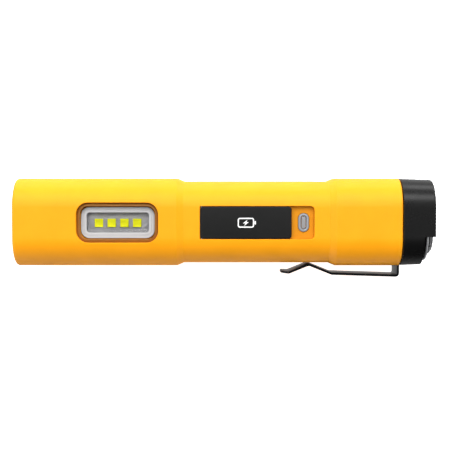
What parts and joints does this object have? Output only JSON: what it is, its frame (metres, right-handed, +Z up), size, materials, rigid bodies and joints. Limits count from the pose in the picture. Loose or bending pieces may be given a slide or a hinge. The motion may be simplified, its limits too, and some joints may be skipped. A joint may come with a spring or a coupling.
{
  "type": "firefighter flashlight",
  "caption": "Slim yellow rechargeable flashlight with a rounded square body, a spot head, a side flood light, a covered charging port, a tail push switch and a pocket clip.",
  "frame": {"origin": "on the plane the light rests on, right under the middle of the side light, on the body's long axis", "axes": "+X along the body towards the tail switch, +Y to the side away from the pocket clip, +Z up out of the front face"},
  "size_m": [0.1501, 0.0356, 0.031],
  "materials": {
    "yellow_housing": "satin moulded",
    "black_plastic": "satin moulded",
    "clear_lens": "polished",
    "black_rubber": "matt",
    "reflector_coating": "mirror",
    "led_phosphor": "matt",
    "white_board": "solder mask",
    "bare_aluminium": "satin",
    "light_grey_plastic": "satin moulded",
    "grey_board": "matt",
    "bright_steel": "bright",
    "grey_plastic": "satin moulded",
    "green_board": "solder mask",
    "cell_wrap": "shrink sleeve",
    "dark_steel": "black oxide",
    "bright_ring": "anodised",
    "brown_rubber": "matt"
  },
  "bodies": {
    "body": {"housing": "yellow_housing", "head_retaining_ring": "black_plastic", "head_lens": "clear_lens", "head_lens_gasket": "black_rubber", "head_reflector": "reflector_coating", "spot_led": "led_phosphor", "spot_led_board": "white_board", "head_heat_sink": "bare_aluminium", "side_light_bezel": "light_grey_plastic", "side_light_gasket": "brown_rubber", "side_light_lens": "clear_lens", "side_led_board": "grey_board", "side_led_1": "led_phosphor", "side_led_2": "led_phosphor", "side_led_3": "led_phosphor", "side_led_4": "led_phosphor", "port_cover_hinge_pin": "bright_steel", "indicator_bezel": "grey_plastic", "indicator_light_pipe": "light_grey_plastic", "charge_led": "led_phosphor", "main_circuit_board": "green_board", "usb_port": "bright_steel", "battery_cell": "cell_wrap", "battery_cradle": "black_plastic", "battery_tab_positive": "bright_steel", "battery_tab_negative": "bright_steel", "tail_cap": "black_plastic", "tail_cap_seal": "black_rubber", "tail_cap_screw_1": "dark_steel", "tail_cap_screw_2": "dark_steel", "switch_bezel_ring": "bright_ring", "switch_boot": "black_rubber", "switch_body": "black_plastic", "switch_board": "green_board", "side_label": "yellow_housing"},
    "port_cover": {"port_cover": "black_rubber"},
    "tail_button": {"switch_button": "black_rubber", "switch_trim_ring": "bright_ring", "switch_plunger": "light_grey_plastic"},
    "pocket_clip": {"pocket_clip": "dark_steel"}
  },
  "joints": [
    {"name": "port_cover_hinge", "type": "hinge", "parent": "body", "child": "port_cover", "pos_m": [0.03, 0, 0.02923], "axis": [0, -1, 0], "range_deg": [0, 95]},
    {"name": "tail_button_press", "type": "slide", "parent": "body", "child": "tail_button", "axis": [-1, 0, 0], "range_m": [0, 0.0012], "stiffness_N_per_m": 1500, "springref_m": -0.0005},
    {"name": "pocket_clip_flex", "type": "hinge", "parent": "body", "child": "pocket_clip", "pos_m": [0.10085, -0.0155, 0.0155], "axis": [0, 0, 1], "range_deg": [0, 3.5], "stiffness_Nm_per_rad": 5.5, "springref_deg": -0.57}
  ]
}
